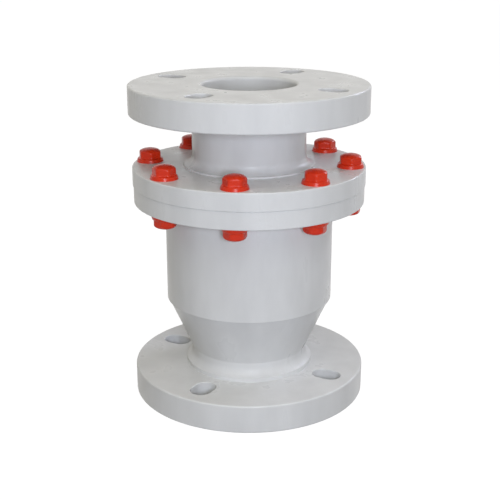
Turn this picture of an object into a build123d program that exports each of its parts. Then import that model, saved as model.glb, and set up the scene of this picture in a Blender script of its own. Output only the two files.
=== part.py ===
from build123d import *

import math
import os

# Flanged non-return valve for vertical pipework, standing on its inlet flange.
# Flow from below lifts a loose ball off its seat and passes round it to the outlet.
# Lengths are in millimetres and angles in degrees. +Z is up, along the flow.
# The origin is the centre of the inlet flange's lower face.

# Pipe connections, the same at the inlet and the outlet
bore_dia = 78.0
end_flange_dia = 200.0
end_flange_thickness = 24.0
end_flange_edge_radius = 1.5
bore_mouth_radius = 3.0
slot_count = 4
slot_width = 18.0
smallest_pipe_bolt_circle = 146.0
largest_pipe_bolt_circle = 160.0

# Necks, each with a ring at its foot that a hollow flare runs down to
inlet_neck_wall = 10.75
inlet_neck_length = 15.0
inlet_ring_width = 5.25
inlet_ring_height = 3.5
outlet_neck_wall = 8.8
outlet_neck_length = 44.0
outlet_ring_width = 7.2
outlet_ring_height = 1.4
flare_radius = 8.0

# Cone and chamber of the lower body
cone_height = 45.0
cone_wall = 9.9
cone_rim_step = 1.1
chamber_height = 86.0
chamber_wall = 9.1
flow_gap = 12.0

# Bolted joint between the two halves
body_flange_thickness = 15.0
body_flange_margin = 12.3
bonnet_flange_thickness = 15.0
bonnet_flange_margin = 13.0
body_flange_edge_radius = 1.0
joint_edge_radius = 0.5
inside_corner_radius = 2.0
bolt_count = 8
first_bolt_angle = 22.5
bolt_standoff = 13.9
bolt_hole_clearance = 0.5
recess_width = 6.0
spigot_height = 2.0
spigot_clearance = 0.2
outlet_throat_width = 16.0
outlet_throat_height = 14.0
body_seal_section = 3.9
body_seal_offset = 5.5

# Ball and its lift off the seat
ball_overlap = 11.0
ball_lift = 30.0
seat_gap = 0.3
stop_gap = 0.3

# Seat, in a pocket at the foot of the chamber, with the body bored wider just below it
pocket_rise = 14.0
inlet_relief = 1.5
inlet_plug_gap = 3.0
seat_ring_width = 10.9
seat_ring_height = 10.0
seat_land = 2.45
seat_contact_rise = 8.0
seal_section = 4.5
seal_proud = 0.7
static_seal_section = 3.0
static_seal_rise = 2.9
retainer_height = 5.0
retainer_ball_gap = 1.3
retainer_headroom = 1.0
retainer_notch_count = 4
retainer_notch_width = 6.0
retainer_notch_depth = 2.0

# Clearance of a ring in its bore, and of a round seal in its groove
ring_fit = 0.1
groove_fit = 0.1

# Guide ribs, keyed into the chamber wall
rib_count = 4
first_rib_angle = 45.0
rib_width = 6.0
rib_key_depth = 1.5
rib_ball_gap = 1.0
rib_foot_rise = 4.0
rib_lead_in = 4.0

# Ball stop, a ring with spokes and a hub
stop_ring_thickness = 4.0
stop_ring_width = 10.0
stop_spoke_count = 4
stop_spoke_width = 7.0
stop_spoke_depth = 9.0
stop_hub_dia = 26.0
stop_hub_edge_radius = 1.5

# Studs, nuts and washers
stud_dia = 8.0
stud_end = 1.5
stud_chamfer = 0.4
nut_across_flats = 13.0
nut_height = 6.5
nut_chamfer = 0.4
nut_chamfer_angle = 30.0
thread_clearance = 0.05
washer_dia = 16.0
washer_thickness = 1.6
washer_hole_clearance = 0.25

# Nut caps, with domed tops and flared skirts
cap_fit = 0.1
cap_wall = 2.1
cap_roof = 2.8
cap_stud_room = 0.2
cap_shoulder_radius = 4.2
cap_crown_rise = 0.4
cap_skirt_wall = 3.3
cap_skirt_height = 3.2
cap_skirt_flare = 0.9

# How far each nut and its cap stopped turned from facing outwards
upper_hex_turns = (8, -14, 22, 5, 19, -10, 8, -7)
lower_hex_turns = (-12, 17, 3, -20, 9, 14, 19, 26)

# Radii that follow
bore_r = bore_dia / 2
end_flange_r = end_flange_dia / 2
slot_centre_r = (smallest_pipe_bolt_circle + largest_pipe_bolt_circle) / 4
slot_travel = (largest_pipe_bolt_circle - smallest_pipe_bolt_circle) / 2
inlet_neck_r = bore_r + inlet_neck_wall
outlet_neck_r = bore_r + outlet_neck_wall
ball_r = bore_r + ball_overlap
chamber_r = ball_r + flow_gap
chamber_outer_r = chamber_r + chamber_wall
cone_top_r = chamber_outer_r - cone_rim_step
recess_r = chamber_r + recess_width
bolt_circle_r = chamber_outer_r + bolt_standoff
body_flange_r = bolt_circle_r + body_flange_margin
bonnet_flange_r = bolt_circle_r + bonnet_flange_margin
seat_ring_r = bore_r + seat_ring_width
pocket_r = seat_ring_r + ring_fit
body_seal_r = recess_r + body_seal_offset
rib_inner_r = ball_r + rib_ball_gap
rib_outer_r = chamber_r + rib_key_depth

# Heights that follow
cone_foot = end_flange_thickness + inlet_neck_length
cone_top = cone_foot + cone_height
body_flange_foot = cone_top + chamber_height
joint = body_flange_foot + body_flange_thickness
bonnet_flange_top = joint + bonnet_flange_thickness
outlet_flange_foot = bonnet_flange_top + outlet_neck_length
valve_top = outlet_flange_foot + end_flange_thickness
spigot_foot = joint - spigot_height
recess_floor = spigot_foot - stop_ring_thickness
pocket_floor = cone_foot + pocket_rise
seat_ring_top = pocket_floor + seat_ring_height
retainer_top = seat_ring_top + retainer_height
pocket_top = retainer_top + retainer_headroom

# The cone's inner face runs parallel to its outer face, from the pocket to the chamber wall
cone_slope = (cone_top_r - inlet_neck_r) / cone_height
inner_cone_foot_r = inlet_neck_r + cone_slope * (pocket_top - cone_foot) - cone_wall
inner_cone_top = cone_foot + (chamber_r + cone_wall - inlet_neck_r) / cone_slope
rib_foot = inner_cone_top + rib_foot_rise

# The ball meets the seat on a circle just outside the bore
seat_contact_r = bore_r + seat_land
seat_angle = math.degrees(math.asin(seat_contact_r / ball_r))
ball_centre = pocket_floor + seat_contact_rise + ball_r * math.cos(math.radians(seat_angle))
stop_hub_foot = ball_centre + ball_r + ball_lift + stop_gap

# A plug pushed up the inlet stops short of the closed ball, where the wider bore begins
inlet_bore_top = ball_centre - ball_r - inlet_plug_gap

# A nut, its washer and the stud's end above the flange they hold
nut_top = washer_thickness + nut_height
stud_top = nut_top + stud_end
cap_shoulder_top = nut_top + cap_fit + cap_roof
cap_height = cap_shoulder_top + cap_crown_rise
nut_corner_r = nut_across_flats / math.sqrt(3)
nut_flat_r = nut_across_flats / 2 - nut_chamfer

# Two edges closer than this are the same edge
same_place = 0.01


def turned(*lines):
    """The solid that a closed outline in the XZ plane makes when it turns about Z."""
    outline = Curve() + list(lines)
    return revolve(make_face(Plane.XZ * outline), Axis.Z)


def ring(inner_r, outer_r, foot, top):
    """A plain ring between two radii and two heights."""
    corners = [(inner_r, foot), (outer_r, foot), (outer_r, top), (inner_r, top)]
    return turned(Polyline(*corners, close=True))


def torus(centre_r, height, section):
    """A round seal of that section, lying in a circle about Z."""
    return Pos(0, 0, height) * Torus(centre_r, section / 2)


def rims(solid, radius, height):
    """The solid's circular edges of that radius at that height."""
    edges = solid.edges().filter_by(GeomType.CIRCLE)
    at_height = [e for e in edges if abs(e.arc_center.Z - height) < same_place]
    return [e for e in at_height if abs(e.radius - radius) < same_place]


def flare_top(neck_r, ring_r, ring_top):
    """Height where the hollow flare leaves the neck, if it ends at the ring's upper edge."""
    return ring_top + math.sqrt(flare_radius**2 - (neck_r + flare_radius - ring_r) ** 2)


def hexagon(across_flats):
    """A hexagon with one flat facing +X."""
    return RegularPolygon(across_flats / 2, 6, major_radius=False, rotation=30)


def seat_point(distance, along=0.0):
    """A point in the seat's section: that far from the ball's centre, through the contact circle."""
    outward = math.radians(seat_angle)
    radius = distance * math.sin(outward) + along * math.cos(outward)
    height = ball_centre - distance * math.cos(outward) + along * math.sin(outward)
    return (radius, height)


def ball_radius_at(height):
    """Radius of the closed ball's section at a height."""
    return math.sqrt(ball_r**2 - (ball_centre - height) ** 2)


def bolt_angle(index):
    return first_bolt_angle + index * 360 / bolt_count


def at_bolt(index, height):
    """The place of one bolt, with +X facing outwards."""
    return Rot(0, 0, bolt_angle(index)) * Pos(bolt_circle_r, 0, height)


def pipe_slots(foot):
    """Radial slots through an end flange, which suit several pipe bolt circles."""
    slot = extrude(SlotCenterToCenter(slot_travel, slot_width), end_flange_thickness)
    return [Pos(0, 0, foot) * place * slot for place in PolarLocations(slot_centre_r, slot_count)]


def bolt_holes(foot, thickness):
    """Clearance holes for the studs through a flange."""
    hole_r = stud_dia / 2 + bolt_hole_clearance
    hole = Cylinder(hole_r, thickness, align=(Align.CENTER, Align.CENTER, Align.MIN))
    return [at_bolt(index, foot) * hole for index in range(bolt_count)]


def at_rib(index):
    return Rot(0, 0, first_rib_angle + index * 360 / rib_count)


def rib_bar(inner_r, width, foot, top):
    """A bar on +X between an inner radius and the bottom of the key grooves."""
    bar = Box(rib_outer_r - inner_r, width, top - foot, align=(Align.MIN, Align.CENTER, Align.MIN))
    return Pos(inner_r, 0, foot) * bar


def lower_body():
    """Inlet flange, neck, cone, chamber and body flange in one piece."""
    ring_r = inlet_neck_r + inlet_ring_width
    ring_top = end_flange_thickness + inlet_ring_height
    neck_start = flare_top(inlet_neck_r, ring_r, ring_top)
    foot_to_ring = Polyline(
        (bore_r, 0),
        (end_flange_r, 0),
        (end_flange_r, end_flange_thickness),
        (ring_r, end_flange_thickness),
        (ring_r, ring_top),
    )
    flare = RadiusArc((ring_r, ring_top), (inlet_neck_r, neck_start), flare_radius)
    neck_to_bore = Polyline(
        (inlet_neck_r, neck_start),
        (inlet_neck_r, cone_foot),
        (cone_top_r, cone_top),
        (chamber_outer_r, cone_top),
        (chamber_outer_r, body_flange_foot),
        (body_flange_r, body_flange_foot),
        (body_flange_r, joint),
        (recess_r, joint),
        (recess_r, recess_floor),
        (chamber_r, recess_floor),
        (chamber_r, inner_cone_top),
        (inner_cone_foot_r, pocket_top),
        (pocket_r, pocket_top),
        (pocket_r, pocket_floor),
        (bore_r + inlet_relief, pocket_floor),
        (bore_r + inlet_relief, inlet_bore_top),
        (bore_r, inlet_bore_top),
        (bore_r, 0),
    )
    body = turned(foot_to_ring, flare, neck_to_bore)
    flange_edges = rims(body, end_flange_r, 0) + rims(body, end_flange_r, end_flange_thickness)
    body = fillet(flange_edges, end_flange_edge_radius)
    body = fillet(rims(body, bore_r, 0), bore_mouth_radius)
    body = fillet(rims(body, body_flange_r, body_flange_foot), body_flange_edge_radius)
    body = fillet(rims(body, body_flange_r, joint), joint_edge_radius)
    body = fillet(rims(body, chamber_outer_r, body_flange_foot), inside_corner_radius)
    body -= pipe_slots(0)
    body -= bolt_holes(body_flange_foot, body_flange_thickness)
    groove_half = body_seal_section / 2 + groove_fit
    groove_floor = joint - body_seal_section - groove_fit
    body -= ring(body_seal_r - groove_half, body_seal_r + groove_half, groove_floor, joint)
    key = rib_bar(rib_inner_r, rib_width + 2 * groove_fit, rib_foot, recess_floor)
    return body - [at_rib(index) * key for index in range(rib_count)]


def bonnet():
    """Upper body flange, neck and outlet flange in one piece, with a spigot that centres it."""
    ring_r = outlet_neck_r + outlet_ring_width
    ring_top = bonnet_flange_top + outlet_ring_height
    neck_start = flare_top(outlet_neck_r, ring_r, ring_top)
    spigot_r = recess_r - spigot_clearance
    throat_r = bore_r + outlet_throat_width
    foot_to_ring = Polyline(
        (throat_r, spigot_foot),
        (spigot_r, spigot_foot),
        (spigot_r, joint),
        (bonnet_flange_r, joint),
        (bonnet_flange_r, bonnet_flange_top),
        (ring_r, bonnet_flange_top),
        (ring_r, ring_top),
    )
    flare = RadiusArc((ring_r, ring_top), (outlet_neck_r, neck_start), flare_radius)
    neck_to_throat = Polyline(
        (outlet_neck_r, neck_start),
        (outlet_neck_r, outlet_flange_foot),
        (end_flange_r, outlet_flange_foot),
        (end_flange_r, valve_top),
        (bore_r, valve_top),
        (bore_r, spigot_foot + outlet_throat_height),
        (throat_r, spigot_foot),
    )
    body = turned(foot_to_ring, flare, neck_to_throat)
    flange_edges = rims(body, end_flange_r, outlet_flange_foot) + rims(body, end_flange_r, valve_top)
    body = fillet(flange_edges, end_flange_edge_radius)
    body = fillet(rims(body, bore_r, valve_top), bore_mouth_radius)
    body = fillet(rims(body, bonnet_flange_r, bonnet_flange_top), body_flange_edge_radius)
    body = fillet(rims(body, bonnet_flange_r, joint), joint_edge_radius)
    body = fillet(rims(body, outlet_neck_r, outlet_flange_foot), inside_corner_radius)
    body -= pipe_slots(outlet_flange_foot)
    return body - bolt_holes(joint, bonnet_flange_thickness)


def body_o_ring():
    """Face seal in the lower body's groove, just under the joint."""
    return torus(body_seal_r, joint - body_seal_section / 2 - groove_fit / 2, body_seal_section)


def ball():
    """Loose ball, just clear of its seal when closed."""
    return Pos(0, 0, ball_centre) * Sphere(ball_r)


def seat_ring():
    """Ring on the pocket floor, with a conical seat face and a groove for each seal."""
    face = ball_r + seat_gap + seal_proud
    face_middle = seat_point(face)
    face_run = math.tan(math.radians(90 - seat_angle))
    face_foot = face_middle[1] - (face_middle[0] - bore_r) / face_run
    face_top_r = face_middle[0] + (seat_ring_top - face_middle[1]) * face_run
    section = Polyline(
        (bore_r, pocket_floor),
        (seat_ring_r, pocket_floor),
        (seat_ring_r, seat_ring_top),
        (face_top_r, seat_ring_top),
        (bore_r, face_foot),
        close=True,
    )
    groove_half = seal_section / 2 + groove_fit
    groove_floor = ball_r + seat_gap + seal_section + groove_fit
    groove = Polyline(
        seat_point(ball_r, -groove_half),
        seat_point(groove_floor, -groove_half),
        seat_point(groove_floor, groove_half),
        seat_point(ball_r, groove_half),
        close=True,
    )
    static_half = static_seal_section / 2 + groove_fit
    static_height = pocket_floor + static_seal_rise
    static_floor_r = pocket_r - static_seal_section - 2 * groove_fit
    static_groove = ring(
        static_floor_r, pocket_r, static_height - static_half, static_height + static_half
    )
    return turned(section) - turned(groove) - static_groove


def seat_seal():
    """Seal in the seat face that the ball closes on."""
    centre = seat_point(ball_r + seat_gap + seal_section / 2)
    return torus(centre[0], centre[1], seal_section)


def seat_o_ring():
    """Static seal between the seat ring and the pocket wall."""
    centre_r = pocket_r - groove_fit - static_seal_section / 2
    return torus(centre_r, pocket_floor + static_seal_rise, static_seal_section)


def seat_retainer():
    """Screwed ring that holds the seat ring down, notched for a spanner."""
    section = Polyline(
        (ball_radius_at(seat_ring_top) + retainer_ball_gap, seat_ring_top),
        (seat_ring_r, seat_ring_top),
        (seat_ring_r, retainer_top),
        (ball_radius_at(retainer_top) + retainer_ball_gap, retainer_top),
        close=True,
    )
    notch = Pos(seat_ring_r, 0, retainer_top) * Box(
        2 * seat_ring_width, retainer_notch_width, 2 * retainer_notch_depth
    )
    turns = [Rot(0, 0, index * 360 / retainer_notch_count) for index in range(retainer_notch_count)]
    return turned(section) - [turn * notch for turn in turns]


def guide_rib():
    """Rib on +X, with a sloped lead-in at its foot."""
    rib = rib_bar(rib_inner_r, rib_width, rib_foot, recess_floor)
    inner_foot = rib.edges().filter_by(Axis.Y).sort_by(lambda e: e.center().X + e.center().Z)[0]
    return chamfer(inner_foot, rib_lead_in)


def ball_stop():
    """Ring clamped in the recess, whose spokes carry a hub that the ball rises to."""
    ring_r = recess_r - spigot_clearance
    inner_r = ring_r - stop_ring_width
    hub_r = stop_hub_dia / 2
    hub = Cylinder(hub_r, spigot_foot - stop_hub_foot, align=(Align.CENTER, Align.CENTER, Align.MIN))
    hub = Pos(0, 0, stop_hub_foot) * hub
    hub = fillet(rims(hub, hub_r, stop_hub_foot), stop_hub_edge_radius)
    spoke = Pos(0, 0, spigot_foot - stop_spoke_depth) * Box(
        inner_r + stop_ring_width / 2,
        stop_spoke_width,
        stop_spoke_depth,
        align=(Align.MIN, Align.CENTER, Align.MIN),
    )
    within_chamber = ring(0, chamber_r - spigot_clearance, stop_hub_foot, spigot_foot)
    turns = [Rot(0, 0, index * 360 / stop_spoke_count) for index in range(stop_spoke_count)]
    spokes = [turn * spoke & within_chamber for turn in turns]
    return ring(inner_r, ring_r, recess_floor, spigot_foot) + hub + spokes


def stud():
    """Stud through both flanges, centred on Z."""
    foot = body_flange_foot - stud_top
    top = bonnet_flange_top + stud_top
    shank = Pos(0, 0, foot) * Cylinder(
        stud_dia / 2, top - foot, align=(Align.CENTER, Align.CENTER, Align.MIN)
    )
    return chamfer(rims(shank, stud_dia / 2, foot) + rims(shank, stud_dia / 2, top), stud_chamfer)


def washer():
    """Washer standing on the XY plane."""
    return ring(stud_dia / 2 + washer_hole_clearance, washer_dia / 2, 0, washer_thickness)


def nut_chamfer_drop(corner_r):
    """How far a nut's corner lies below the face that its chamfer starts from."""
    return (corner_r - nut_flat_r) * math.tan(math.radians(nut_chamfer_angle))


def nut():
    """Hexagon nut above its washer, with its corners chamfered at both faces."""
    corner_drop = nut_chamfer_drop(nut_corner_r)
    envelope = turned(
        Polyline(
            (stud_dia / 2 + thread_clearance, 0),
            (nut_flat_r, 0),
            (nut_corner_r, corner_drop),
            (nut_corner_r, nut_height - corner_drop),
            (nut_flat_r, nut_height),
            (stud_dia / 2 + thread_clearance, nut_height),
            close=True,
        )
    )
    blank = extrude(hexagon(nut_across_flats), nut_height)
    return Pos(0, 0, washer_thickness) * (blank & envelope)


def cap_outside(across_flats):
    """A hexagon whose top is rounded over at the corners and slightly crowned."""
    corner_r = across_flats / math.sqrt(3)
    crown_r = corner_r - cap_shoulder_radius
    shoulder_foot = cap_shoulder_top - cap_shoulder_radius
    crown_radius = (crown_r**2 + cap_crown_rise**2) / (2 * cap_crown_rise)
    side = Polyline((0, cap_height), (0, 0), (corner_r, 0), (corner_r, shoulder_foot))
    shoulder = RadiusArc((corner_r, shoulder_foot), (crown_r, cap_shoulder_top), -cap_shoulder_radius)
    crown = RadiusArc((crown_r, cap_shoulder_top), (0, cap_height), -crown_radius)
    return extrude(hexagon(across_flats), cap_height) & turned(side, shoulder, crown)


def cap_inside(across_flats):
    """Room for the nut, as chamfered as the nut is, and for the stud's end above it."""
    corner_r = across_flats / math.sqrt(3)
    ceiling = nut_top + cap_fit
    stud_room_r = stud_dia / 2 + cap_stud_room
    envelope = turned(
        Polyline(
            (0, 0),
            (corner_r, 0),
            (corner_r, ceiling - nut_chamfer_drop(corner_r)),
            (nut_flat_r, ceiling),
            (stud_room_r, ceiling),
            (stud_room_r, stud_top + cap_stud_room),
            (0, stud_top + cap_stud_room),
            close=True,
        )
    )
    return extrude(hexagon(across_flats), cap_height) & envelope


def nut_cap():
    """Cap over a nut and its washer: domed hexagon on a flared round skirt, open below."""
    inner_flats = nut_across_flats + 2 * cap_fit
    washer_room_r = washer_dia / 2 + cap_fit
    skirt_r = washer_room_r + cap_skirt_wall
    skirt = turned(
        Polyline(
            (0, 0),
            (skirt_r, 0),
            (skirt_r - cap_skirt_flare, cap_skirt_height),
            (0, cap_skirt_height),
            close=True,
        )
    )
    washer_room = ring(0, washer_room_r, 0, washer_thickness + cap_fit)
    outside = cap_outside(inner_flats + 2 * cap_wall) + skirt
    return outside - cap_inside(inner_flats) - washer_room


def on_bonnet(index, piece):
    """A fastener piece on top of the joint, turned as its nut stopped."""
    return at_bolt(index, bonnet_flange_top) * Rot(0, 0, upper_hex_turns[index]) * piece


def under_body(index, piece):
    """The same piece upside down under the joint."""
    flipped = mirror(piece, about=Plane.XY)
    return at_bolt(index, body_flange_foot) * Rot(0, 0, lower_hex_turns[index]) * flipped


def group(pieces):
    """Identical fasteners as one node of separate solids."""
    return Compound(children=list(pieces))


bolts = range(bolt_count)
nodes = {
    "lower_body": lower_body(),
    "bonnet": bonnet(),
    "body_o_ring": body_o_ring(),
    "ball": ball(),
    "seat_ring": seat_ring(),
    "seat_seal": seat_seal(),
    "seat_o_ring": seat_o_ring(),
    "seat_retainer": seat_retainer(),
    "ball_stop": ball_stop(),
    "studs": group(at_bolt(index, 0) * stud() for index in bolts),
    "upper_washers": group(on_bonnet(index, washer()) for index in bolts),
    "lower_washers": group(under_body(index, washer()) for index in bolts),
    "upper_nuts": group(on_bonnet(index, nut()) for index in bolts),
    "lower_nuts": group(under_body(index, nut()) for index in bolts),
}
for index in range(rib_count):
    nodes[f"guide_rib_{index + 1}"] = at_rib(index) * guide_rib()
for index in bolts:
    nodes[f"upper_cap_{index + 1}"] = on_bonnet(index, nut_cap())
    nodes[f"lower_cap_{index + 1}"] = under_body(index, nut_cap())

os.makedirs("parts", exist_ok=True)
for name, shape in nodes.items():
    shape.label = name
    export_step(shape, f"parts/{name}.step")
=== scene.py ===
import math
import bpy
from mathutils import Matrix, Vector


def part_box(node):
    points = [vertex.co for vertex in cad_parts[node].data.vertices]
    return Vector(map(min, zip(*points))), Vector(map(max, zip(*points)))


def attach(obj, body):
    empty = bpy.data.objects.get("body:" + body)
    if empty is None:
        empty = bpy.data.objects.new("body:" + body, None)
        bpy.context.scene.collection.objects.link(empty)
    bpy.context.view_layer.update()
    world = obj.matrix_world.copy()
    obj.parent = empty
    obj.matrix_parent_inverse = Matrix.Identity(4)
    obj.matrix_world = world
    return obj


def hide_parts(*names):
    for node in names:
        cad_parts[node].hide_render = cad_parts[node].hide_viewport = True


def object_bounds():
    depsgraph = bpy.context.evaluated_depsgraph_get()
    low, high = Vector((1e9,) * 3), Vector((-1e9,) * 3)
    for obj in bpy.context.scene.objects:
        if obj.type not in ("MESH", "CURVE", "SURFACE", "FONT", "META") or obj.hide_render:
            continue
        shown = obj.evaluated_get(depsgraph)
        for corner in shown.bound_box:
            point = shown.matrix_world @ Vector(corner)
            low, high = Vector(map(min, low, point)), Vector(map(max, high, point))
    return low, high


# Flanged plastic non-return valve, standing on its inlet flange. The body is turned from grey
# polypropylene in two halves, bolted together, with an orange-red cap snapped over every nut.
# Lengths are in metres, +Z is up, and every piece is built where the frame has it.

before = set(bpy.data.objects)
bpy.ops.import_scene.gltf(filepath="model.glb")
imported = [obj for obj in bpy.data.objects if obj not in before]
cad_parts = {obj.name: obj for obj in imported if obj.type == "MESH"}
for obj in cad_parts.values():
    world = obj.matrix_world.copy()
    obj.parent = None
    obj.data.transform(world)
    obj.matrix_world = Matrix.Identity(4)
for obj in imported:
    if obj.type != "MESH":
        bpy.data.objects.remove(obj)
cad_low, cad_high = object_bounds()

mm = 0.001

# Heights and radii read from the frame
valve_top = cad_high.z
end_flange_r = cad_high.x
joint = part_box("lower_body")[1].z
spigot_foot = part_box("bonnet")[0].z
recess_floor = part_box("guide_rib_1")[1].z
bonnet_flange_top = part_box("upper_cap_1")[0].z
body_flange_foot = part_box("lower_cap_1")[1].z
cap_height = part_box("upper_cap_1")[1].z - bonnet_flange_top
pocket_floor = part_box("seat_ring")[0].z
seat_ring_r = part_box("seat_ring")[1].x
seat_ring_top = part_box("seat_ring")[1].z
retainer_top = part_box("seat_retainer")[1].z
rib_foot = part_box("guide_rib_1")[0].z
stop_hub_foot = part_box("ball_stop")[0].z
washer_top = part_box("upper_washers")[1].z - bonnet_flange_top
nut_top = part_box("upper_nuts")[1].z - bonnet_flange_top
stud_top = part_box("studs")[1].z - bonnet_flange_top
ball_low, ball_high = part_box("ball")
ball_r = (ball_high.z - ball_low.z) / 2
ball_centre = (ball_high.z + ball_low.z) / 2

# Pipe connections
bore_r = 39 * mm
end_flange_thickness = 24 * mm
slot_centre_r = 76.5 * mm
slot_travel = 7 * mm
slot_width = 18 * mm
outlet_flange_foot = valve_top - end_flange_thickness

# Necks, with a ring at the foot of each that a hollow flare runs down to
inlet_neck_r = bore_r + 10.75 * mm
inlet_ring_r = inlet_neck_r + 5.25 * mm
inlet_ring_top = end_flange_thickness + 3.5 * mm
outlet_neck_r = bore_r + 8.8 * mm
outlet_ring_r = outlet_neck_r + 7.2 * mm
outlet_ring_top = bonnet_flange_top + 1.4 * mm
flare_r = 8 * mm

# Cone and chamber
cone_foot = end_flange_thickness + 15 * mm
cone_top = cone_foot + 45 * mm
cone_wall = 9.9 * mm
chamber_r = ball_r + 12 * mm
chamber_outer_r = chamber_r + 9.1 * mm
cone_top_r = chamber_outer_r - 1.1 * mm
pocket_r = seat_ring_r + 0.1 * mm
pocket_top = pocket_floor + 16 * mm
relief_r = bore_r + 1.5 * mm
relief_foot = ball_low.z - 3 * mm
cone_slope = (cone_top_r - inlet_neck_r) / (cone_top - cone_foot)
inner_cone_foot_r = inlet_neck_r + cone_slope * (pocket_top - cone_foot) - cone_wall
inner_cone_top = cone_foot + (chamber_r + cone_wall - inlet_neck_r) / cone_slope

# Bolted joint
bolt_count = 8
bolt_circle_r = chamber_outer_r + 13.9 * mm
bolt_hole_r = 4.5 * mm
body_flange_r = bolt_circle_r + 12.3 * mm
bonnet_flange_r = bolt_circle_r + 13 * mm
recess_r = chamber_r + 6 * mm
spigot_r = recess_r - 0.2 * mm
throat_r = bore_r + 16 * mm
throat_top = spigot_foot + 14 * mm
seal_groove_r = recess_r + 5.5 * mm
seal_groove_half = 2.05 * mm
seal_groove_depth = 4 * mm

# Seat, its seals and the ring that holds it down
seat_contact_r = bore_r + 2.45 * mm
seat_gap = 0.3 * mm
seal_section = 4.5 * mm
seal_proud = 0.7 * mm
static_seal_section = 3 * mm
static_seal_height = pocket_floor + 2.9 * mm
groove_fit = 0.1 * mm
retainer_ball_gap = 1.3 * mm
notch_width = 6 * mm
notch_depth = 2 * mm

# Guide ribs and ball stop
rib_count = 4
rib_width = 6 * mm
rib_slot_width = 6.2 * mm
rib_inner_r = ball_r + 1 * mm
rib_outer_r = chamber_r + 1.5 * mm
rib_lead_in = 4 * mm
stop_ring_width = 10 * mm
stop_spoke_width = 7 * mm
stop_spoke_depth = 9 * mm
stop_hub_r = 13 * mm
stop_hub_rounding = 1.5 * mm

# Softness of the edges, as the tool or the file left them
mouth_rounding = 3 * mm
flange_rounding = 1.5 * mm
joint_rounding = 0.5 * mm
tool_rounding = 0.4 * mm
inside_rounding = 2 * mm
slot_rounding = 0.7 * mm

# Nut caps
cap_across_flats = 17.4 * mm
cap_edge_rounding = 2.5 * mm
cap_dome_foot = 6.3 * mm
cap_grain = 0.38 * mm
cap_softening = 9
cap_trim = 2 * mm
cap_dome_power = 2.3
cap_skirt_r = 11.4 * mm
cap_skirt_flare = 0.9 * mm
cap_skirt_height = 3.2 * mm
cap_fit = 0.1 * mm
nut_across_flats = 13 * mm
washer_r = 8 * mm
stud_r = 4 * mm
upper_hex_turns = (8, -14, 22, 5, 19, -10, 8, -7)
lower_hex_turns = (-12, 17, 3, -20, 9, 14, 19, 26)

# The photo's camera stands this far round from -Y towards +X, and the lamps are placed by it
camera_turn = math.radians(29.9)
valve_middle = Vector((0, 0, valve_top / 2))
room_light = 0.3

# Fineness of the meshes
round_segments = 192
slot_segments = 64
cap_segments = 64
dome_steps = 14
ball_steps = 96
seal_segments = 24

# The mark that the moulding gate leaves on a cap's crown
gate_r = 0.9 * mm
gate_depth = 0.12 * mm

# Radius of a closed end's ring before its points are merged on the axis
axis_r = 0.01 * mm

# How far a cutter reaches past what it cuts
past = 1 * mm

# The floor lies a hair below the valve, so that their faces don't share a plane
floor_gap = 0.02 * mm
floor_width = 30


def deselect():
    bpy.ops.object.select_all(action="DESELECT")


def pick(piece):
    """Makes one piece the only selected and active one."""
    deselect()
    piece.select_set(True)
    bpy.context.view_layer.objects.active = piece


def place_in_mesh():
    bpy.ops.object.transform_apply(location=True, rotation=True, scale=True)


def rounded(corners, steps=5):
    """Points of a section, from corners (radius, height, rounding) with each rounding as an arc."""
    points = []
    for index, (radius, height, rounding) in enumerate(corners):
        here = Vector((radius, height))
        if not rounding:
            points.append(here)
            continue
        back = (Vector(corners[index - 1][:2]) - here).normalized()
        ahead = (Vector(corners[(index + 1) % len(corners)][:2]) - here).normalized()
        half = back.angle(ahead) / 2
        reach = rounding / math.tan(half)
        middle = here + (back + ahead).normalized() * rounding / math.sin(half)
        first = here + back * reach - middle
        last = here + ahead * reach - middle
        for step in range(steps + 1):
            points.append(middle + first.slerp(last, step / steps).normalized() * rounding)
    return points


def flare(neck_r, ring_r, ring_top, steps=10):
    """Corners of the hollow flare, from a ring's upper edge to the neck."""
    across = (neck_r + flare_r - ring_r) / flare_r
    start = ring_top + flare_r * math.sqrt(1 - across**2)
    angles = [math.acos(across) * (1 - step / steps) for step in range(steps + 1)]
    return [
        (neck_r + flare_r * (1 - math.cos(a)), start - flare_r * math.sin(a), 0) for a in angles
    ]


def lathe(name, section, segments=round_segments):
    """A closed section turned about Z: a ring of edges is extruded and resized point by point."""
    deselect()
    radius, height = section[0]
    bpy.ops.mesh.primitive_circle_add(
        vertices=segments, radius=radius, location=(0, 0, height)
    )
    piece = bpy.context.object
    piece.name = name
    place_in_mesh()
    bpy.ops.object.mode_set(mode="EDIT")
    bpy.ops.mesh.select_all(action="SELECT")
    here = section[0]
    for there in section[1:] + section[:1]:
        bpy.ops.mesh.extrude_edges_move(
            TRANSFORM_OT_translate={"value": (0, 0, there[1] - here[1])}
        )
        grow = there[0] / here[0]
        bpy.ops.transform.resize(value=(grow, grow, 1), center_override=(0, 0, 0))
        here = there
    bpy.ops.mesh.select_all(action="SELECT")
    bpy.ops.mesh.remove_doubles(threshold=0.01 * mm)
    bpy.ops.mesh.normals_make_consistent(inside=False)
    bpy.ops.object.mode_set(mode="OBJECT")
    return piece


def copies(tool, places):
    """One object holding a copy of the tool at each place. The tool itself goes."""
    made = []
    for place in places:
        copy = tool.copy()
        copy.data = tool.data.copy()
        copy.data.transform(place)
        bpy.context.collection.objects.link(copy)
        made.append(copy)
    bpy.data.objects.remove(tool)
    pick(made[0])
    for copy in made:
        copy.select_set(True)
    if len(made) > 1:
        bpy.ops.object.join()
    return made[0]


def cut(piece, tool, operation="DIFFERENCE"):
    """Cuts the tool out of the piece, or joins or crosses the two, and takes the tool away."""
    pick(piece)
    modifier = piece.modifiers.new("cut", "BOOLEAN")
    modifier.operation = operation
    modifier.solver = "EXACT"
    modifier.object = tool
    bpy.ops.object.modifier_apply(modifier=modifier.name)
    bpy.data.objects.remove(tool)


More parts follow.
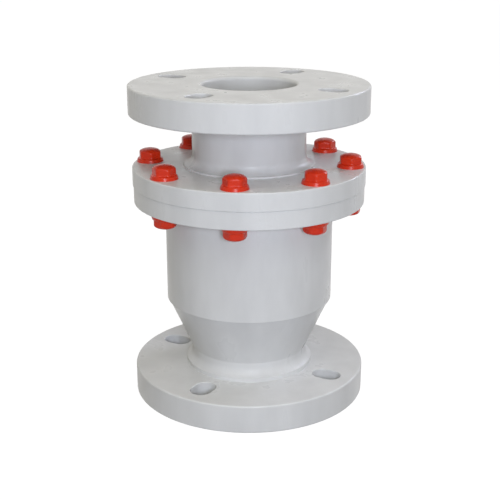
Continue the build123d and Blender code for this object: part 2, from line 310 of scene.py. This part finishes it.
def around(count, first=0.0):
    """Turns about Z, evenly spaced."""
    return [Matrix.Rotation(math.radians(first + 360 * i / count), 4, "Z") for i in range(count)]


def slot_cutter(foot):
    """Four radial slots through an end flange, flared at both faces to soften their rims."""
    deselect()
    bpy.ops.mesh.primitive_circle_add(
        vertices=slot_segments,
        radius=slot_width / 2,
        rotation=(0, 0, math.pi / slot_segments),
    )
    tool = bpy.context.object
    place_in_mesh()
    bpy.ops.object.mode_set(mode="EDIT")
    bpy.ops.mesh.select_all(action="DESELECT")
    bpy.ops.object.mode_set(mode="OBJECT")
    for vertex in tool.data.vertices:
        vertex.select = vertex.co.x > 0
    bpy.ops.object.mode_set(mode="EDIT")
    bpy.ops.transform.translate(value=(slot_travel, 0, 0))
    bpy.ops.mesh.select_all(action="SELECT")
    bpy.ops.transform.translate(value=(slot_centre_r - slot_travel / 2, 0, foot - slot_rounding))
    bpy.ops.mesh.edge_face_add()
    half_length = (slot_width + slot_travel) / 2
    rim = [
        (slot_rounding * (1 - math.sin(a)), slot_rounding * (1 - math.cos(a)))
        for a in [math.pi / 2 * k / 4 for k in range(5)]
    ]
    steps = [(2 * slot_rounding, 0.0)] + [(out, slot_rounding + down) for out, down in rim]
    top = end_flange_thickness + 2 * slot_rounding
    steps += [(out, top - up) for out, up in reversed(steps)]
    here = (0.0, 0.0)
    for there in steps:
        bpy.ops.mesh.extrude_region_move(
            TRANSFORM_OT_translate={"value": (0, 0, there[1] - here[1])}
        )
        long = (half_length + there[0]) / (half_length + here[0])
        wide = (slot_width / 2 + there[0]) / (slot_width / 2 + here[0])
        bpy.ops.transform.resize(value=(long, wide, 1), center_override=(slot_centre_r, 0, 0))
        here = there
    bpy.ops.mesh.select_all(action="SELECT")
    bpy.ops.mesh.remove_doubles(threshold=0.001 * mm)
    bpy.ops.mesh.normals_make_consistent(inside=False)
    bpy.ops.object.mode_set(mode="OBJECT")
    return copies(tool, around(4))


def bolt_cutter(foot, top):
    """Eight holes for the studs."""
    deselect()
    bpy.ops.mesh.primitive_cylinder_add(
        vertices=slot_segments,
        radius=bolt_hole_r,
        depth=top - foot + 2 * past,
        location=(bolt_circle_r, 0, (foot + top) / 2),
    )
    place_in_mesh()
    return copies(bpy.context.object, around(bolt_count, 22.5))


def rib_cutter():
    """Four key grooves for the guide ribs, up the chamber wall."""
    deselect()
    depth = rib_outer_r - ball_r
    height = recess_floor + past - rib_foot
    bpy.ops.mesh.primitive_cube_add(
        size=1,
        scale=(depth, rib_slot_width, height),
        location=(rib_outer_r - depth / 2, 0, rib_foot + height / 2),
    )
    place_in_mesh()
    return copies(bpy.context.object, around(rib_count, 45))


def finish_faces(piece, sharp=32):
    """Smooth shading that keeps flat faces flat beside their small roundings."""
    pick(piece)
    bpy.ops.object.shade_smooth_by_angle(angle=math.radians(sharp), keep_sharp_edges=False)
    modifier = piece.modifiers.new("flat faces", "WEIGHTED_NORMAL")
    modifier.keep_sharp = True
    bpy.ops.object.modifier_apply(modifier=modifier.name)


def lower_body():
    """Inlet flange, neck, cone, chamber and body flange in one piece."""
    groove_floor = joint - seal_groove_depth
    corners = [
        (bore_r, 0, mouth_rounding),
        (end_flange_r, 0, flange_rounding),
        (end_flange_r, end_flange_thickness, flange_rounding),
        (inlet_ring_r, end_flange_thickness, tool_rounding),
        *flare(inlet_neck_r, inlet_ring_r, inlet_ring_top),
        (inlet_neck_r, cone_foot, inside_rounding),
        (cone_top_r, cone_top, joint_rounding),
        (chamber_outer_r, cone_top, joint_rounding),
        (chamber_outer_r, body_flange_foot, inside_rounding),
        (body_flange_r, body_flange_foot, 1 * mm),
        (body_flange_r, joint, joint_rounding),
        (seal_groove_r + seal_groove_half, joint, 0),
        (seal_groove_r + seal_groove_half, groove_floor, tool_rounding),
        (seal_groove_r - seal_groove_half, groove_floor, tool_rounding),
        (seal_groove_r - seal_groove_half, joint, 0),
        (recess_r, joint, tool_rounding),
        (recess_r, recess_floor, 0),
        (chamber_r, recess_floor, tool_rounding),
        (chamber_r, inner_cone_top, inside_rounding),
        (inner_cone_foot_r, pocket_top, tool_rounding),
        (pocket_r, pocket_top, tool_rounding),
        (pocket_r, pocket_floor, 0),
        (relief_r, pocket_floor, tool_rounding),
        (relief_r, relief_foot, tool_rounding),
        (bore_r, relief_foot, tool_rounding),
    ]
    body = lathe("valve_lower_body", rounded(corners))
    cut(body, slot_cutter(0))
    cut(body, bolt_cutter(body_flange_foot, joint))
    cut(body, rib_cutter())
    finish_faces(body)
    return body


def bonnet():
    """Upper body flange, neck and outlet flange in one piece."""
    corners = [
        (throat_r, spigot_foot, tool_rounding),
        (spigot_r, spigot_foot, tool_rounding),
        (spigot_r, joint, 0),
        (bonnet_flange_r, joint, joint_rounding),
        (bonnet_flange_r, bonnet_flange_top, 1 * mm),
        (outlet_ring_r, bonnet_flange_top, tool_rounding),
        *flare(outlet_neck_r, outlet_ring_r, outlet_ring_top),
        (outlet_neck_r, outlet_flange_foot, inside_rounding),
        (end_flange_r, outlet_flange_foot, flange_rounding),
        (end_flange_r, valve_top, flange_rounding),
        (bore_r, valve_top, mouth_rounding),
        (bore_r, throat_top, inside_rounding),
    ]
    body = lathe("valve_bonnet", rounded(corners))
    cut(body, slot_cutter(outlet_flange_foot))
    cut(body, bolt_cutter(joint, bonnet_flange_top))
    finish_faces(body)
    return body


def hexagon_block(across_flats, top, foot=0.0):
    """A six-sided block with one flat facing +X."""
    deselect()
    bpy.ops.mesh.primitive_cylinder_add(
        vertices=6,
        radius=across_flats / math.sqrt(3),
        depth=top - foot,
        location=(0, 0, (foot + top) / 2),
    )
    place_in_mesh()
    return bpy.context.object


def select_edges(piece, chosen):
    """Enters edit mode with only the edges that the test picks selected."""
    bpy.ops.object.mode_set(mode="EDIT")
    bpy.ops.mesh.select_mode(type="EDGE")
    bpy.ops.mesh.select_all(action="DESELECT")
    bpy.ops.object.mode_set(mode="OBJECT")
    for edge in piece.data.edges:
        ends = [piece.data.vertices[v].co for v in edge.vertices]
        edge.select = chosen(*ends)
    bpy.ops.object.mode_set(mode="EDIT")


def closed_lathe(name, section, segments=round_segments):
    """A section turned about Z whose first and last points lie on the axis."""
    points = [(max(radius, axis_r), height) for radius, height in section]
    return lathe(name, points, segments)


def bevel_all(piece, width, steps=2, sharp=30):
    """Softens every edge of a piece that is sharper than an angle."""
    pick(piece)
    modifier = piece.modifiers.new("soft edges", "BEVEL")
    modifier.width = width
    modifier.segments = steps
    modifier.limit_method = "ANGLE"
    modifier.angle_limit = math.radians(sharp)
    bpy.ops.object.modifier_apply(modifier=modifier.name)


def o_ring(name, node):
    """A round seal, as large and as thick as its node."""
    low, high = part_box(node)
    section_r = (high.z - low.z) / 2
    centre_r = high.x - section_r
    centre_z = (high.z + low.z) / 2
    angles = [2 * math.pi * step / seal_segments for step in range(seal_segments)]
    section = [
        (centre_r + section_r * math.cos(a), centre_z + section_r * math.sin(a)) for a in angles
    ]
    piece = lathe(name, section)
    finish_faces(piece, 60)
    return piece


def ball():
    """Ball that lies on its seat and lifts with the flow."""
    steps = [math.pi * (step / ball_steps - 0.5) for step in range(ball_steps + 1)]
    section = [(ball_r * math.cos(a), ball_centre + ball_r * math.sin(a)) for a in steps]
    piece = closed_lathe("valve_ball", section)
    finish_faces(piece, 60)
    return piece


def seat_point(distance, along=0.0):
    """A point of the seat's section: that far from the ball's centre, past the contact circle."""
    outward = math.asin(seat_contact_r / ball_r)
    radius = distance * math.sin(outward) + along * math.cos(outward)
    height = ball_centre - distance * math.cos(outward) + along * math.sin(outward)
    return radius, height


def seat_ring():
    """Ring with a conical face for the ball, and a groove for each of its two seals."""
    slope = math.tan(math.asin(seat_contact_r / ball_r))
    face = ball_r + seat_gap + seal_proud
    face_r, face_z = seat_point(face)
    half = seal_section / 2 + groove_fit
    groove_floor = ball_r + seat_gap + seal_section + groove_fit
    static_half = static_seal_section / 2 + groove_fit
    static_floor_r = pocket_r - static_seal_section - 2 * groove_fit
    corners = [
        (bore_r, pocket_floor, tool_rounding),
        (seat_ring_r, pocket_floor, tool_rounding),
        (seat_ring_r, static_seal_height - static_half, tool_rounding / 2),
        (static_floor_r, static_seal_height - static_half, 0),
        (static_floor_r, static_seal_height + static_half, 0),
        (seat_ring_r, static_seal_height + static_half, tool_rounding / 2),
        (seat_ring_r, seat_ring_top, tool_rounding),
        (face_r + (seat_ring_top - face_z) / slope, seat_ring_top, tool_rounding),
        (*seat_point(face, half), tool_rounding / 2),
        (*seat_point(groove_floor, half), 0),
        (*seat_point(groove_floor, -half), 0),
        (*seat_point(face, -half), tool_rounding / 2),
        (bore_r, face_z - (face_r - bore_r) * slope, tool_rounding),
    ]
    piece = lathe("valve_seat_ring", rounded(corners))
    finish_faces(piece)
    return piece


def seat_retainer():
    """Screwed ring over the seat ring, notched for a pin spanner."""
    inner = [
        math.sqrt(ball_r**2 - (ball_centre - height) ** 2) + retainer_ball_gap
        for height in (seat_ring_top, retainer_top)
    ]
    corners = [
        (inner[0], seat_ring_top, tool_rounding),
        (seat_ring_r, seat_ring_top, tool_rounding),
        (seat_ring_r, retainer_top, tool_rounding),
        (inner[1], retainer_top, tool_rounding),
    ]
    piece = lathe("valve_seat_retainer", rounded(corners))
    notch_foot = retainer_top - notch_depth
    notch = block(bore_r, seat_ring_r + past, notch_width, notch_foot, pocket_top)
    cut(piece, copies(notch, around(4)))
    finish_faces(piece)
    return piece


def block(near, far, width, foot, top):
    """A bar along +X between two radii and two heights."""
    deselect()
    bpy.ops.mesh.primitive_cube_add(
        size=1,
        scale=(far - near, width, top - foot),
        location=((near + far) / 2, 0, (foot + top) / 2),
    )
    place_in_mesh()
    return bpy.context.object


def guide_rib():
    """Rib keyed into the chamber wall, sloped at its foot so that the ball slides in."""
    rib = block(rib_inner_r, rib_outer_r, rib_width, rib_foot, recess_floor)
    low_inner = rib_inner_r + rib_foot + 1 * mm
    select_edges(rib, lambda a, b: a.x + a.z < low_inner and b.x + b.z < low_inner)
    bpy.ops.mesh.bevel(offset=rib_lead_in, segments=1)
    bpy.ops.object.mode_set(mode="OBJECT")
    bevel_all(rib, tool_rounding)
    return rib


def ball_stop():
    """Ring in the recess, whose spokes carry a hub that the ball rises to."""
    inner_r = spigot_r - stop_ring_width
    corners = [
        (inner_r, recess_floor, tool_rounding),
        (spigot_r, recess_floor, tool_rounding),
        (spigot_r, spigot_foot, tool_rounding),
        (inner_r, spigot_foot, tool_rounding),
    ]
    piece = lathe("valve_ball_stop", rounded(corners))
    spoke_end_r = inner_r + stop_ring_width / 2
    spoke_foot = spigot_foot - stop_spoke_depth
    spoke = block(stop_hub_r / 2, spoke_end_r, stop_spoke_width, spoke_foot, spigot_foot)
    bevel_all(spoke, tool_rounding * 2)
    cut(piece, copies(spoke, around(4)), "UNION")
    hub = [
        (axis_r, stop_hub_foot, 0),
        (stop_hub_r, stop_hub_foot, stop_hub_rounding),
        (stop_hub_r, spigot_foot, tool_rounding),
        (axis_r, spigot_foot, 0),
    ]
    cut(piece, lathe("hub", rounded(hub)), "UNION")
    finish_faces(piece)
    return piece


def cap_dome():
    """The turned outline that rounds a cap's top. It starts below the foot, which is trimmed."""
    corner_r = cap_across_flats / math.sqrt(3)
    rise = cap_height - cap_dome_foot
    outline = [(0, -cap_trim), (corner_r + past, -cap_trim), (corner_r + past, cap_dome_foot)]
    for step in range(dome_steps + 1):
        radius = corner_r * math.sin(math.pi / 2 * (1 - step / dome_steps))
        share = max(0.0, 1 - (radius / corner_r) ** cap_dome_power)
        outline.append((radius, cap_dome_foot + rise * share ** (1 / cap_dome_power)))
    return closed_lathe("dome", outline, cap_segments)


def cap_skirt():
    """The flared skirt of a cap, carried on below the foot."""
    slope = cap_skirt_flare / cap_skirt_height
    outline = [
        (0, -cap_trim),
        (cap_skirt_r + slope * cap_trim, -cap_trim),
        (cap_skirt_r - cap_skirt_flare, cap_skirt_height),
        (0, cap_skirt_height),
    ]
    return closed_lathe("skirt", outline, cap_segments)


def soften(piece, grain, rounds):
    """Rebuilds a solid in a fine even grain and smooths it, for the soft edges of a moulding."""
    pick(piece)
    modifier = piece.modifiers.new("fine grain", "REMESH")
    modifier.mode = "VOXEL"
    modifier.voxel_size = grain
    bpy.ops.object.modifier_apply(modifier=modifier.name)
    modifier = piece.modifiers.new("soft edges", "SMOOTH")
    modifier.factor = 0.5
    modifier.iterations = rounds
    bpy.ops.object.modifier_apply(modifier=modifier.name)


def gate_mark(crown):
    """The shallow round mark of the moulding gate, cut into a cap's crown."""
    outline = [
        (0, crown - gate_depth),
        (gate_r, crown - gate_depth),
        (gate_r, crown + past),
        (0, crown + past),
    ]
    return closed_lathe("gate", outline, cap_segments)


def cap_rooms():
    """The hollow of a cap: room for the nut, the washer and the stud's end."""
    nut_room = hexagon_block(nut_across_flats + 2 * cap_fit, nut_top + cap_fit, -past)
    cone_foot_r = nut_across_flats / math.sqrt(3)
    cone = [
        (0, -2 * past),
        (cone_foot_r + past, -2 * past),
        (cone_foot_r + past, nut_top - 1 * mm),
        (nut_across_flats / 2, nut_top + cap_fit),
        (0, nut_top + cap_fit),
    ]
    cut(nut_room, closed_lathe("nut chamfer", cone, cap_segments), "INTERSECT")
    washer_room = [
        (0, -past),
        (washer_r + cap_fit, -past),
        (washer_r + cap_fit, washer_top + cap_fit),
        (0, washer_top + cap_fit),
    ]
    cut(nut_room, closed_lathe("washer room", washer_room, cap_segments), "UNION")
    stud_room = [
        (0, nut_top - past),
        (stud_r + cap_fit, nut_top - past),
        (stud_r + cap_fit, stud_top + cap_fit),
        (0, stud_top + cap_fit),
    ]
    cut(nut_room, closed_lathe("stud room", stud_room, cap_segments), "UNION")
    return nut_room


def nut_cap():
    """Cap over a nut: a domed hexagon with soft edges on a flared skirt, hollow below."""
    cap = hexagon_block(cap_across_flats, cap_height + past, -cap_trim)
    cap.name = "cap_master"
    select_edges(cap, lambda a, b: abs(a.z - b.z) > cap_height)
    bpy.ops.mesh.bevel(offset=cap_edge_rounding * math.tan(math.radians(30)), segments=5)
    bpy.ops.object.mode_set(mode="OBJECT")
    cut(cap, cap_dome(), "INTERSECT")
    cut(cap, cap_skirt(), "UNION")
    soften(cap, cap_grain, cap_softening)
    foot = block(-2 * cap_skirt_r, 2 * cap_skirt_r, 4 * cap_skirt_r, -2 * cap_trim, 0)
    cut(cap, foot)
    cut(cap, cap_rooms())
    cut(cap, gate_mark(max(vertex.co.z for vertex in cap.data.vertices)))
    finish_faces(cap, 35)
    return cap


def cap_place(node, flip, turn):
    """Where a cap goes: over its node's middle, standing on or hanging from its flange."""
    low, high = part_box(node)
    middle = (low + high) / 2
    facing = math.atan2(middle.y, middle.x)
    foot = high.z if flip else low.z
    place = Matrix.Translation((middle.x, middle.y, foot))
    place @= Matrix.Rotation(facing + math.radians(turn), 4, "Z")
    if flip:
        place @= Matrix.Rotation(math.pi, 4, "X")
    return place


def put_caps(finish):
    """Sixteen copies of one cap, each turned as its nut stopped."""
    master = nut_cap()
    for side, flip, turns in (("upper", False, upper_hex_turns), ("lower", True, lower_hex_turns)):
        for index, turn in enumerate(turns):
            node = f"{side}_cap_{index + 1}"
            cap = master.copy()
            cap.data = master.data.copy()
            cap.name = f"valve_{node}"
            cap.data.transform(cap_place(node, flip, turn))
            bpy.context.collection.objects.link(cap)
            dress(cap, finish, "cap_plastic", node)
    bpy.data.objects.remove(master)


def put_ribs(finish):
    """Four copies of one guide rib."""
    master = guide_rib()
    for index, turn in enumerate(around(rib_count, 45)):
        rib = master.copy()
        rib.data = master.data.copy()
        rib.name = f"valve_guide_rib_{index + 1}"
        rib.data.transform(turn)
        bpy.context.collection.objects.link(rib)
        dress(rib, finish, "inner_plastic", f"guide_rib_{index + 1}")
    bpy.data.objects.remove(master)


def linear(code):
    """A colour written as sRGB hex, as the shader wants it."""
    parts = [int(code[i : i + 2], 16) / 255 for i in (1, 3, 5)]
    spread = [p / 12.92 if p <= 0.04045 else ((p + 0.055) / 1.055) ** 2.4 for p in parts]
    return (*spread, 1)


def add(tree, kind, inputs=None, **settings):
    """Adds a node with its settings. An input given as a socket is linked, any other is a value."""
    made = tree.nodes.new(kind)
    for name, value in settings.items():
        setattr(made, name, value)
    for key, value in (inputs or {}).items():
        if isinstance(value, bpy.types.NodeSocket):
            tree.links.new(value, made.inputs[key])
        else:
            made.inputs[key].default_value = value
    return made


def new_material(name):
    material = bpy.data.materials.new(name)
    material.use_nodes = True
    material.node_tree.nodes.clear()
    place = add(material.node_tree, "ShaderNodeTexCoord").outputs["Object"]
    return material, material.node_tree, place


def close_material(tree, inputs):
    """The surface shader and the output."""
    shader = add(tree, "ShaderNodeBsdfPrincipled", inputs)
    add(tree, "ShaderNodeOutputMaterial", {0: shader.outputs[0]})


def blotches(tree, place, size, detail=3.0):
    """Soft blotches of a size, from 0 to 1."""
    inputs = {"Vector": place, "Scale": 1 / size, "Detail": detail}
    return add(tree, "ShaderNodeTexNoise", inputs).outputs[0]


def tool_path(tree, place, feed):
    """Streaks that run all round the axis, a feed apart, as a turning tool leaves them."""
    apart = add(tree, "ShaderNodeSeparateXYZ", {0: place}).outputs
    across = add(tree, "ShaderNodeCombineXYZ", {0: apart[0], 1: apart[1]}).outputs[0]
    radius = add(tree, "ShaderNodeVectorMath", {0: across}, operation="LENGTH").outputs[1]
    run = add(tree, "ShaderNodeMath", {0: radius, 1: apart[2]}).outputs[0]
    inputs = {"W": run, "Scale": 1 / feed, "Detail": 1.0}
    return add(tree, "ShaderNodeTexNoise", inputs, noise_dimensions="1D").outputs[0]


def between(tree, share, low, high):
    """A number that goes from low to high as the share goes from 0.3 to 0.7."""
    inputs = {"Value": share, "From Min": 0.3, "From Max": 0.7, "To Min": low, "To Max": high}
    return add(tree, "ShaderNodeMapRange", inputs).outputs[0]


def tinted(tree, share, low, high):
    """A colour that goes from one to the other as the share goes from 0.3 to 0.7."""
    inputs = {0: between(tree, share, 0.0, 1.0), 6: linear(low), 7: linear(high)}
    return add(tree, "ShaderNodeMix", inputs, data_type="RGBA").outputs[2]


def rough_skin(tree, height, depth, strength, below=None):
    """A bump of that depth, over another one where there is one."""
    inputs = {"Height": height, "Distance": depth, "Strength": strength}
    if below:
        inputs["Normal"] = below
    return add(tree, "ShaderNodeBump", inputs).outputs[0]


def turned_polypropylene(name, dark, pale, rough, glow=0.0):
    """Polypropylene turned on a lathe: milky and semi-gloss, with light sunk into it. The streaks
    are the tool's feed, really 0.2 mm and drawn at 1.5 mm so that they show. The blotches are
    stretched upright. In the roughness they are the uneven polish of a hand-wiped face, and in
    the base colour they are painted reflection: soft upright bands of lighter and darker grey."""
    material, tree, place = new_material(name)
    # Blotches stretched upright, which paint soft upright bands of reflection into the base colour
    reflection_band_place = add(tree, "ShaderNodeMapping", {"Vector": place, "Scale": (1, 1, 0.3)}).outputs[0]
    polish_and_reflection_bands = blotches(tree, reflection_band_place, 20 * mm)
    feed = tool_path(tree, place, 1.5 * mm)
    grain = blotches(tree, place, 0.9 * mm, 1.0)
    lines = rough_skin(tree, feed, 0.04 * mm, 0.25)
    skin = rough_skin(tree, grain, 0.02 * mm, 0.15, lines)
    close_material(
        tree,
        {
            # Painted reflection: the upright blotches shade the base colour between the two greys
            "Base Color": tinted(tree, polish_and_reflection_bands, dark, pale),
            "Roughness": between(tree, polish_and_reflection_bands, rough + 0.05, rough - 0.04),
            "IOR": 1.49,
            "Specular IOR Level": 0.22,
            "Subsurface Weight": glow,
            "Subsurface Radius": (1.0, 0.95, 0.9),
            "Subsurface Scale": 3 * mm,
            "Normal": skin,
        },
    )
    return material


def moulded_polyethylene():
    """Pigmented polyethylene from a polished mould: bright orange-red, waxy, with flow blotches
    and the faint ripple of a thin moulding."""
    material, tree, place = new_material("moulded_polyethylene")
    flow = blotches(tree, place, 6 * mm)
    ripple = blotches(tree, place, 2.5 * mm, 1.0)
    close_material(
        tree,
        {
            "Base Color": tinted(tree, flow, "#CB2A0C", "#D7330F"),
            "Roughness": between(tree, flow, 0.32, 0.24),
            "IOR": 1.5,
            "Specular IOR Level": 0.26,
            "Subsurface Weight": 0.1,
            "Subsurface Radius": (1.0, 0.3, 0.15),
            "Subsurface Scale": 2 * mm,
            "Normal": rough_skin(tree, ripple, 0.06 * mm, 0.35),
        },
    )
    return material


def ground_polypropylene():
    """The ball's polypropylene, ground round between wheels: satin, with fine crossed scratches."""
    material, tree, place = new_material("ground_polypropylene")
    wear = blotches(tree, place, 14 * mm)
    across = add(tree, "ShaderNodeMapping", {"Vector": place, "Scale": (1, 1, 9)}).outputs[0]
    scratches = blotches(tree, across, 2 * mm, 2.0)
    close_material(
        tree,
        {
            "Base Color": tinted(tree, wear, "#D9D8D0", "#E3E2DB"),
            "Roughness": between(tree, scratches, 0.42, 0.55),
            "IOR": 1.49,
            "Specular IOR Level": 0.4,
            "Normal": rough_skin(tree, scratches, 0.02 * mm, 0.3),
        },
    )
    return material


def moulded_rubber():
    """EPDM rubber from a mould: black with a grey bloom, matt, with a fine orange-peel skin."""
    material, tree, place = new_material("moulded_rubber")
    bloom = blotches(tree, place, 5 * mm)
    skin = blotches(tree, place, 0.6 * mm, 2.0)
    close_material(
        tree,
        {
            "Base Color": tinted(tree, bloom, "#1C1C1E", "#2B2B2D"),
            "Roughness": between(tree, bloom, 0.55, 0.7),
            "IOR": 1.52,
            "Normal": rough_skin(tree, skin, 0.05 * mm, 0.4),
        },
    )
    return material


def turned_stainless_steel():
    """Stainless steel from the lathe and the press: bright grey with fine tool streaks."""
    material, tree, place = new_material("turned_stainless_steel")
    streaks = tool_path(tree, place, 0.4 * mm)
    stain = blotches(tree, place, 4 * mm)
    close_material(
        tree,
        {
            "Base Color": tinted(tree, stain, "#A9A8A4", "#BDBCB8"),
            "Metallic": 1.0,
            "Roughness": between(tree, streaks, 0.24, 0.4),
            "Normal": rough_skin(tree, streaks, 0.02 * mm, 0.3),
        },
    )
    return material


def dress(piece, material, slot, *nodes, body="valve_body"):
    """Gives a new piece its material and body, and hides the nodes it stands for. The slot argument
    is not used.
    """
    piece.data.materials.clear()
    piece.data.materials.append(material)
    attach(piece, body)
    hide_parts(*nodes)


def dress_node(name, material):
    for material_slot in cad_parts[name].material_slots:
        material_slot.material = material


def seen_as_background(tree):
    """1 for what the camera, a reflection or clear matter sees, and 0 for the light it sheds."""
    path = add(tree, "ShaderNodeLightPath").outputs
    seen = path["Is Camera Ray"]
    for ray in ("Is Glossy Ray", "Is Transmission Ray"):
        seen = add(tree, "ShaderNodeMath", {0: seen, 1: path[ray]}, operation="MAXIMUM").outputs[0]
    return seen


def studio():
    """Pale floor under a dim room, both white as a background. The floor keeps the shadow."""
    deselect()
    bpy.ops.mesh.primitive_plane_add(size=floor_width, location=(0, 0, -floor_gap))
    floor = bpy.context.object
    floor.name = "floor"
    material, tree, _ = new_material("pale_floor")
    white_share = 0.7
    inputs = {0: seen_as_background(tree), 1: white_share}
    share = add(tree, "ShaderNodeMath", inputs, operation="MULTIPLY").outputs[0]
    matt = add(tree, "ShaderNodeBsdfDiffuse", {"Color": linear("#A4A4A4")}).outputs[0]
    white = add(tree, "ShaderNodeEmission", {"Strength": 1.4}).outputs[0]
    surface = add(tree, "ShaderNodeMixShader", {0: share, 1: matt, 2: white}).outputs[0]
    add(tree, "ShaderNodeOutputMaterial", {0: surface})
    floor.data.materials.append(material)

    world = bpy.data.worlds.new("studio")
    bpy.context.scene.world = world
    world.use_nodes = True
    tree = world.node_tree
    tree.nodes.clear()
    room = add(tree, "ShaderNodeBackground", {"Color": linear("#FFF6DE"), "Strength": room_light})
    white = add(tree, "ShaderNodeBackground", {"Color": (1, 1, 1, 1), "Strength": 1.0})
    inputs = {0: seen_as_background(tree), 1: room.outputs[0], 2: white.outputs[0]}
    sky = add(tree, "ShaderNodeMixShader", inputs).outputs[0]
    add(tree, "ShaderNodeOutputWorld", {0: sky})


def lamp(name, turn, rise, distance, size, power, colour):
    """A square soft lamp aimed at the valve, turned to the camera's right and risen, in degrees."""
    data = bpy.data.lights.new(name, "AREA")
    data.size = size
    data.energy = power
    data.color = linear(colour)[:3]
    lamp_object = bpy.data.objects.new(name, data)
    bpy.context.scene.collection.objects.link(lamp_object)
    azimuth, elevation = camera_turn - math.pi / 2 + math.radians(turn), math.radians(rise)
    level = math.cos(elevation)
    away = Vector((level * math.cos(azimuth), level * math.sin(azimuth), math.sin(elevation)))
    lamp_object.location = valve_middle + away * distance
    lamp_object.rotation_euler = (-away).to_track_quat("-Z", "Y").to_euler()


def camera():
    """The photo's view: 17.7 degrees down from 0.83 m away, over the -Y and +X quarter."""
    distance, height = 0.82942, 0.39137
    down = math.radians(17.73)
    focal_pixels, photo_width = 1007.3, 500
    data = bpy.data.cameras.new("camera")
    data.sensor_width = 36
    data.lens = data.sensor_width * focal_pixels / photo_width
    data.shift_x, data.shift_y = 0.0018, -0.0056
    view = bpy.data.objects.new("camera", data)
    bpy.context.scene.collection.objects.link(view)
    place = (distance * math.sin(camera_turn), -distance * math.cos(camera_turn), height)
    view.location = place
    view.rotation_euler = (math.pi / 2 - down, 0, camera_turn)
    bpy.context.scene.camera = view


camera()
studio()
lamp("front", 6, 15, 1.0, 0.2, 4.9, "#E9EFFF")
lamp("behind", 130, 30, 1.4, 0.4, 5.2, "#E2E7FF")
lamp("ceiling", 0, 62, 3.0, 2.6, 28, "#FFFEFA")
bpy.context.scene.view_settings.view_transform = "Standard"

body_plastic = turned_polypropylene("turned_polypropylene", "#D3D4D4", "#DCDDDD", 0.3, 0.15)
inner_plastic = turned_polypropylene("turned_polypropylene_inner", "#CFCFCB", "#D9D9D5", 0.45)
cap_plastic = moulded_polyethylene()
ball_plastic = ground_polypropylene()
rubber = moulded_rubber()
steel = turned_stainless_steel()

dress(lower_body(), body_plastic, "body_plastic", "lower_body")
dress(bonnet(), body_plastic, "body_plastic", "bonnet")
dress(ball(), ball_plastic, "ball_plastic", "ball", body="ball")
dress(seat_ring(), inner_plastic, "inner_plastic", "seat_ring")
dress(seat_retainer(), inner_plastic, "inner_plastic", "seat_retainer")
dress(ball_stop(), inner_plastic, "inner_plastic", "ball_stop")
put_ribs(inner_plastic)
put_caps(cap_plastic)
for seal in ("body_o_ring", "seat_seal", "seat_o_ring"):
    dress(o_ring(f"valve_{seal}", seal), rubber, "seal_rubber", seal)
for fastener in ("studs", "upper_nuts", "lower_nuts", "upper_washers", "lower_washers"):
    dress_node(fastener, steel)
